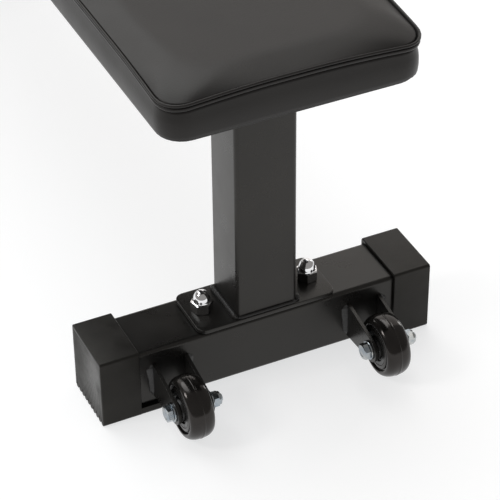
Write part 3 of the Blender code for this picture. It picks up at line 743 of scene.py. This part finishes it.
def seam_height(point):
    """The seam bows up from each corner to the middle of the short edges, and settles on the long ones."""
    along_x = PAD_HALF_X - abs(point.x)
    along_y = PAD_HALF_Y - abs(point.y)
    from_corner = min(max(along_x, along_y), BOW_REACH)
    return SEAM_Z + SEAM_BOW * math.sin(math.pi / 2 * from_corner / BOW_REACH)


def pad_ring(inset, height_of):
    return [Vector((p.x + PAD_CENTRE.x, p.y + PAD_CENTRE.y, height_of(p))) for p in pad_loop(inset)]


def boxing_rings():
    """The side panel, from its lip under the board up to the groove below the welt band."""
    bottom = PAD_LOW.z
    # (inset, height over the bottom) in mm, from under the board out to the bulge of the side
    hem = [(30.0, 0.9), (29.6, 0.2), (12.0, 0.0), (4.4, 0.1), (2.8, 0.5), (1.7, 1.3), (1.3, 2.3), (1.2, 3.2),
           (0.5, 3.8), (-0.3, 4.5)]
    rings = [pad_ring(inset * MM, lambda p, z=z: bottom + z * MM) for inset, z in hem]
    foot, steps = bottom + 4.5 * MM, 9
    for i in range(1, steps + 1):
        share = i / steps
        out = 0.3 * MM + 1.0 * MM * math.sin(math.pi * min(share * 1.25, 1.0)) - 1.6 * MM * share ** 3
        rings.append(pad_ring(-out, lambda p, s=share: foot + s * (seam_height(p) - 8.2 * MM - foot)))
    return rings


def trim_rings():
    """Groove, welt band, stitched line and the thin ridge of the top seam."""
    # (inset, height over the seam) in mm
    outline = [(2.2, -8.2), (1.8, -7.8), (0.3, -7.5), (-0.9, -7.0), (-1.6, -6.2), (-1.9, -5.2), (-1.9, -4.2),
               (-1.6, -3.3), (-0.8, -2.8), (0.8, -2.6), (0.9, -2.4), (-0.8, -2.1), (-1.9, -1.7), (-2.5, -0.9),
               (-2.6, 0.0), (-2.2, 0.9), (-1.3, 1.3), (-0.4, 1.1), (0.3, 0.2), (0.8, -1.2), (1.3, -2.4)]
    return [pad_ring(inset * MM, lambda p, dz=dz: seam_height(p) + dz * MM) for inset, dz in outline]


def top_rings():
    """The top panel, from the crease over the rolled edge to the crowned middle."""
    rings = []
    for depth in (1.6, 2.2, 3.2, 4.8, 6.8, 9.2, 12, 15.2, 18.8, 22.8, 27.2, 32, 37.2, 42.8, 48.8, 55, 62,
                  70, 79, 89, 100, 112, 124, 131, 135):
        share = min(depth * MM / ROLL, 1.0)
        lift = 1 - (1 - share) ** 2.3
        crown = 0.5 * MM * min(max((depth - 20.0) / 110.0, 0.0), 1.0)

        def height_of(p, lift=lift, crown=crown):
            edge = seam_height(p) - 1.4 * MM
            return edge + (CROWN_Z - edge) * lift + crown

        rings.append(pad_ring(depth * MM, height_of))
    return rings


def panel(rings, fill=False):
    """An open sheet over rings, with a strip of quads across the last one where it is filled."""
    mesh, loops = skinned(rings)
    if fill:
        last = loops[-1]
        for i in range(len(last) // 2):
            a, b, c, d = last[i], last[i + 1], last[-(i + 1)], last[-i] if i else last[0]
            corners = [a, b, c] if a is d else [a, b, c, d]
            if b is c:
                corners = [a, b, d]
            if len(set(corners)) > 2:
                mesh.faces.new(corners)
    bmesh.ops.recalc_face_normals(mesh, faces=mesh.faces)
    return mesh


def add_pad():
    """The vinyl in three pieces: the sides with their hem, the welt and the top."""
    edge_rings = trim_rings()
    cover = piece("pad_cover_vinyl", panel(boxing_rings() + edge_rings[:2]), "pad_vinyl",
                  stands_for=["pad_cover"], smooth=0)
    piece("pad_welt_vinyl", panel(edge_rings), "pad_vinyl", stands_for=["pad_welt"], smooth=0)
    top = piece("pad_top_vinyl", panel([edge_rings[-1]] + top_rings(), fill=True), "pad_vinyl",
                stands_for=["pad_foam"], smooth=0)
    inflate(top, AROUND * SEWN_RINGS)


def inflate(made, sewn):
    """Blows the top out as cloth against its first, sewn points, with each point's move kept small."""
    scene = bpy.context.scene
    group = made.vertex_groups.new(name="sewn")
    group.add(list(range(sewn)), 1.0, "REPLACE")
    modifier = made.modifiers.new("inflate", "CLOTH")
    settings = modifier.settings
    settings.quality = 6
    settings.mass = 0.25
    settings.tension_stiffness = settings.compression_stiffness = 12.0
    settings.shear_stiffness = 6.0
    settings.bending_stiffness = 1.5
    settings.use_pressure = True
    settings.uniform_pressure_force = 4.0
    settings.vertex_group_mass = group.name
    settings.effector_weights.gravity = 0.0
    modifier.collision_settings.use_collision = False
    for frame_number in range(1, 21):
        scene.frame_set(frame_number)
    blown = made.evaluated_get(bpy.context.evaluated_depsgraph_get()).to_mesh()
    moves = [after.co - before.co for after, before in zip(blown.vertices, made.data.vertices)]
    made.modifiers.remove(modifier)
    for vertex, move in zip(made.data.vertices, moves):
        vertex.co += move * min(1.0, PUFF / max(move.length, 1e-9))
    scene.frame_set(1)


def add_board():
    """The plywood that the vinyl is wrapped round, out of sight and a little smaller than in the CAD."""
    size, centre, corner = extent("pad_board"), middle("pad_board"), 30.0 * MM

    def outline_at(inset):
        inset += 3.0 * MM
        return rounded_rectangle(size.x - 2 * inset, size.y - 2 * inset, corner)

    mesh = slab(outline_at, -size.z / 2, size.z / 2, 0.8 * MM)
    piece("pad_board_ply", mesh, "plywood", place=moved(*centre), stands_for=["pad_board"])


def staple_data():
    """One staple: a flattened wire whose ends turn up into the cloth."""
    end = [(5.0, 0.7), (5.0, 0.15), (4.8, -0.15), (4.4, -0.3)]
    path = [Vector((x * MM, 0.0, z * MM)) for x, z in [(-x, z) for x, z in end] + end[::-1]]
    half_width, half_thickness = 0.45 * MM, 0.22 * MM
    rings = []
    for i, point in enumerate(path):
        along = (path[min(i + 1, len(path) - 1)] - path[max(i - 1, 0)]).normalized()
        outward = Vector((along.z, 0.0, -along.x))
        rings.append([point + Vector((0.0, half_width * x, 0.0)) + half_thickness * y * outward
                      for x, y in circle(1.0, 8)])
    return mesh_data("staple", loft(rings))


def add_dust_cloth():
    """The black cloth under the pad, with the staples that hold it and the vinyl."""
    node = "pad_dust_cloth"
    low_corner, high_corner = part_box(node)
    centre, size = middle(node), extent(node)
    mesh = slab(rectangle_at(size.x, size.y, 13.0 * MM), low_corner.z, high_corner.z, 0.2 * MM, 1)
    piece(node + "_sheet", mesh, "dust_cloth", place=moved(centre.x, centre.y, 0), stands_for=[node])
    staples, one = bmesh.new(), staple_data()
    margin, count = 7.0 * MM, 84
    line = rounded_rectangle(size.x - 2 * margin, size.y - 2 * margin, 10 * MM)
    loop = even_points([Vector((x, y, 0)) for x, y in line], True, count)
    for i, point in enumerate(loop):
        ahead = loop[(i + 1) % count] - loop[i - 1]
        askew = 0.25 * math.sin(7.0 * i)
        turn = Matrix.Rotation(math.atan2(ahead.y, ahead.x) + askew, 4, "Z")
        start = len(staples.verts)
        staples.from_mesh(one)
        staples.verts.ensure_lookup_table()
        place = moved(centre.x + point.x, centre.y + point.y, low_corner.z) @ turn
        bmesh.ops.transform(staples, matrix=place, verts=staples.verts[start:])
    bpy.data.meshes.remove(one)
    piece("pad_staples", staples, "zinc")


# ---------------------------------------------------------------- stage
def add_stage():
    """A white floor that glows a little, as lit paper does, and a dim even surround."""
    mesh = bmesh.new()
    bmesh.ops.create_grid(mesh, x_segments=1, y_segments=1, size=150.0)
    floor = add_object("floor", mesh_data("floor", mesh))
    material, _, shader = principled("floor_paper", (0.40, 0.395, 0.39), 0.9)
    shader.inputs["Emission Color"].default_value = (0.985, 0.992, 1.0, 1.0)
    shader.inputs["Emission Strength"].default_value = 0.69
    floor.data.materials.append(material)

    world = bpy.data.worlds.new("studio")
    world.use_nodes = True
    surround = world.node_tree.nodes["Background"]
    surround.inputs["Color"].default_value = (1.0, 0.97, 0.94, 1.0)
    surround.inputs["Strength"].default_value = 0.30
    bpy.context.scene.world = world


def add_light(name, place, aim, size, power):
    """A soft rectangular lamp that the camera doesn't see."""
    data = bpy.data.lights.new(name, "AREA")
    data.shape = "RECTANGLE"
    data.size, data.size_y = size
    data.energy = power
    light = add_object(name, data)
    light.location = place
    light.rotation_euler = (Vector(aim) - Vector(place)).to_track_quat("-Z", "Y").to_euler()
    light.visible_camera = False


def add_sun(name, direction, strength, spread, colour):
    """A broad, even light that comes from a direction and is spread over some degrees."""
    data = bpy.data.lights.new(name, "SUN")
    data.energy, data.angle, data.color = strength, math.radians(spread), colour
    add_object(name, data).rotation_euler = Vector(direction).to_track_quat("Z", "Y").to_euler()


def add_camera():
    """The photo's camera, solved from its straight edges."""
    data = bpy.data.cameras.new("camera")
    data.sensor_width = 36.0
    data.lens = 160.66
    camera = add_object("camera", data)
    camera.location = (-0.7983, -2.1712, 1.5617)
    heading, down, roll = -0.439, 0.649, -0.010
    turn = (Matrix.Rotation(heading, 4, "Z") @ Matrix.Rotation(math.pi / 2 - down, 4, "X")
            @ Matrix.Rotation(roll, 4, "Z"))
    camera.rotation_euler = turn.to_euler()
    bpy.context.scene.camera = camera


# ---------------------------------------------------------------- the whole bench
def main():
    for end in ENDS:
        add_foot_tube(end + "_foot_tube")
        add_post(end + "_post")
        add_base_plate(end + "_base_plate")
        add_pad_plate(end + "_pad_plate")
        for side, direction in SIDES:
            add_cap(f"{end}_{side}_foot_cap", direction)
            add_acorn_nut(f"{end}_{side}_acorn_nut")
            add_base_bolt(f"{end}_{side}_base_bolt")
            add_pad_fixings(end, side)
    add_rail()
    add_handle()
    add_grip()
    for wheel, turns in zip(WHEELS, ((8, 20), (33, 12))):
        add_wheel(wheel, turns)
    add_pad()
    add_board()
    add_dust_cloth()
    for node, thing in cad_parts.items():      # hidden metal keeps the CAD's mesh
        if node.endswith(("pad_insert", "axle_sleeve")):
            thing.data.materials.clear()
            thing.data.materials.append(LOOKS["zinc"])

    add_stage()
    add_sun("key_sun", (-0.12, 0.60, 1.0), 1.50, 50.0, (0.93, 0.975, 1.0))
    add_sun("back_sun", (0.29, 0.78, 0.55), 0.92, 80.0, (1.0, 0.955, 0.92))
    add_light("left_soft", (-2.4, -0.2, 2.1), (0.0, -0.5, 0.1), (0.7, 0.7), 20)
    add_light("right_soft", (2.3, 0.5, 0.75), (0.0, -0.5, 0.1), (0.4, 0.8), 5)
    add_camera()
    bpy.context.scene.view_settings.view_transform = "Standard"


main()
